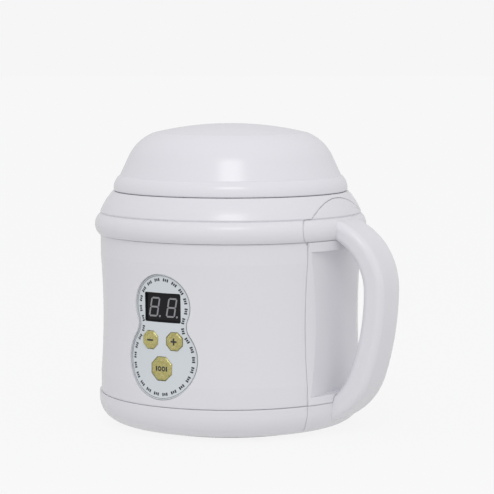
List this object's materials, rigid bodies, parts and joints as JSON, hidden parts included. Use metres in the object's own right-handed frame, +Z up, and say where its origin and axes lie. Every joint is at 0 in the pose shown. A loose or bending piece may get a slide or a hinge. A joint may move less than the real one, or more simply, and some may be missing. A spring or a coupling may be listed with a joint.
{
  "type": "yogurt maker",
  "caption": "Mug-shaped electric yogurt maker: domed lid, waisted round housing, side handle, digital panel with keys, heated well and lift-out pot with its own lid.",
  "frame": {"origin": "on the axis of the round housing, in the plane that the ring foot stands on", "axes": "+Z up the housing's axis, -Y towards the control panel's front, +X towards the handle"},
  "size_m": [0.2078, 0.178, 0.1963],
  "materials": {
    "lid_white": "gloss",
    "liner_white": "satin",
    "silicone": "matt",
    "screw_steel": "zinc plated",
    "pot_steel": "spun",
    "clear_lid": "satin",
    "housing_white": "gloss",
    "foot_rubber": "matt",
    "label_grey": "printed film, blank",
    "fascia_grey": "satin",
    "display_black": "gloss",
    "key_gold": "metallic",
    "switch_black": "matt",
    "board_green": "solder mask",
    "well_aluminium": "spun",
    "ring_grey": "matt",
    "felt": "needled felt",
    "heater_aluminium": "extruded",
    "clamp_steel": "zinc plated",
    "fuse_brass": "plain",
    "sensor_steel": "plain",
    "coil_black": "lacquered",
    "relay_blue": "gloss",
    "can_aluminium": "sleeved",
    "terminal_green": "matt",
    "inlet_black": "matt",
    "pin_brass": "nickel plated",
    "lead_red": "gloss",
    "lead_white": "gloss",
    "ribbon_grey": "matt"
  },
  "bodies": {
    "housing": {"collar": "housing_white", "body_shell": "housing_white", "base_pan": "housing_white", "rubber_foot": "foot_rubber", "handle_panel": "housing_white", "handle_shell": "housing_white", "handle_cover": "housing_white", "handle_screws": "screw_steel", "case_screws": "screw_steel", "collar_screws": "screw_steel", "rating_plate": "label_grey", "fascia": "fascia_grey", "display_module": "display_black", "tact_switches": "switch_black", "control_board": "board_green", "control_board_screws": "screw_steel", "heating_well": "well_aluminium", "well_gasket": "silicone", "retaining_ring": "ring_grey", "felt_sleeve": "felt", "ptc_heater": "heater_aluminium", "heater_clamp": "clamp_steel", "clamp_screws": "screw_steel", "thermal_fuse": "fuse_brass", "temperature_sensor": "sensor_steel", "power_board": "board_green", "power_board_screws": "screw_steel", "transformer": "coil_black", "relay": "relay_blue", "capacitor": "can_aluminium", "terminal_block": "terminal_green", "power_inlet": "inlet_black", "inlet_pins": "pin_brass", "heater_leads": "lead_red", "fuse_leads": "lead_white", "sensor_leads": "lead_white", "inlet_leads": "lead_red", "panel_ribbon": "ribbon_grey"},
    "pot": {"inner_pot": "pot_steel"},
    "pot_lid": {"pot_lid": "clear_lid", "pot_lid_seal": "silicone"},
    "lid": {"lid_shell": "lid_white", "lid_liner": "liner_white", "lid_seal": "silicone", "lid_screws": "screw_steel"},
    "minus": {"minus_button": "key_gold"},
    "plus": {"plus_button": "key_gold"},
    "mode": {"mode_button": "key_gold"}
  },
  "joints": [
    {"name": "pot_lift", "type": "slide", "parent": "housing", "child": "pot", "axis": [0, 0, 1], "range_m": [0, 0.13]},
    {"name": "pot_lid_lift", "type": "slide", "parent": "pot", "child": "pot_lid", "axis": [0, 0, 1], "range_m": [0, 0.05]},
    {"name": "lid_lift", "type": "slide", "parent": "pot_lid", "child": "lid", "axis": [0, 0, 1], "range_m": [0, 0.08]},
    {"name": "minus_press", "type": "slide", "parent": "housing", "child": "minus", "axis": [0, 1, 0], "range_m": [0, 0.0006], "stiffness_N_per_m": 2000},
    {"name": "plus_press", "type": "slide", "parent": "housing", "child": "plus", "axis": [0, 1, 0], "range_m": [0, 0.0006], "stiffness_N_per_m": 2000},
    {"name": "mode_press", "type": "slide", "parent": "housing", "child": "mode", "axis": [0, 1, 0], "range_m": [0, 0.0006], "stiffness_N_per_m": 2000}
  ]
}
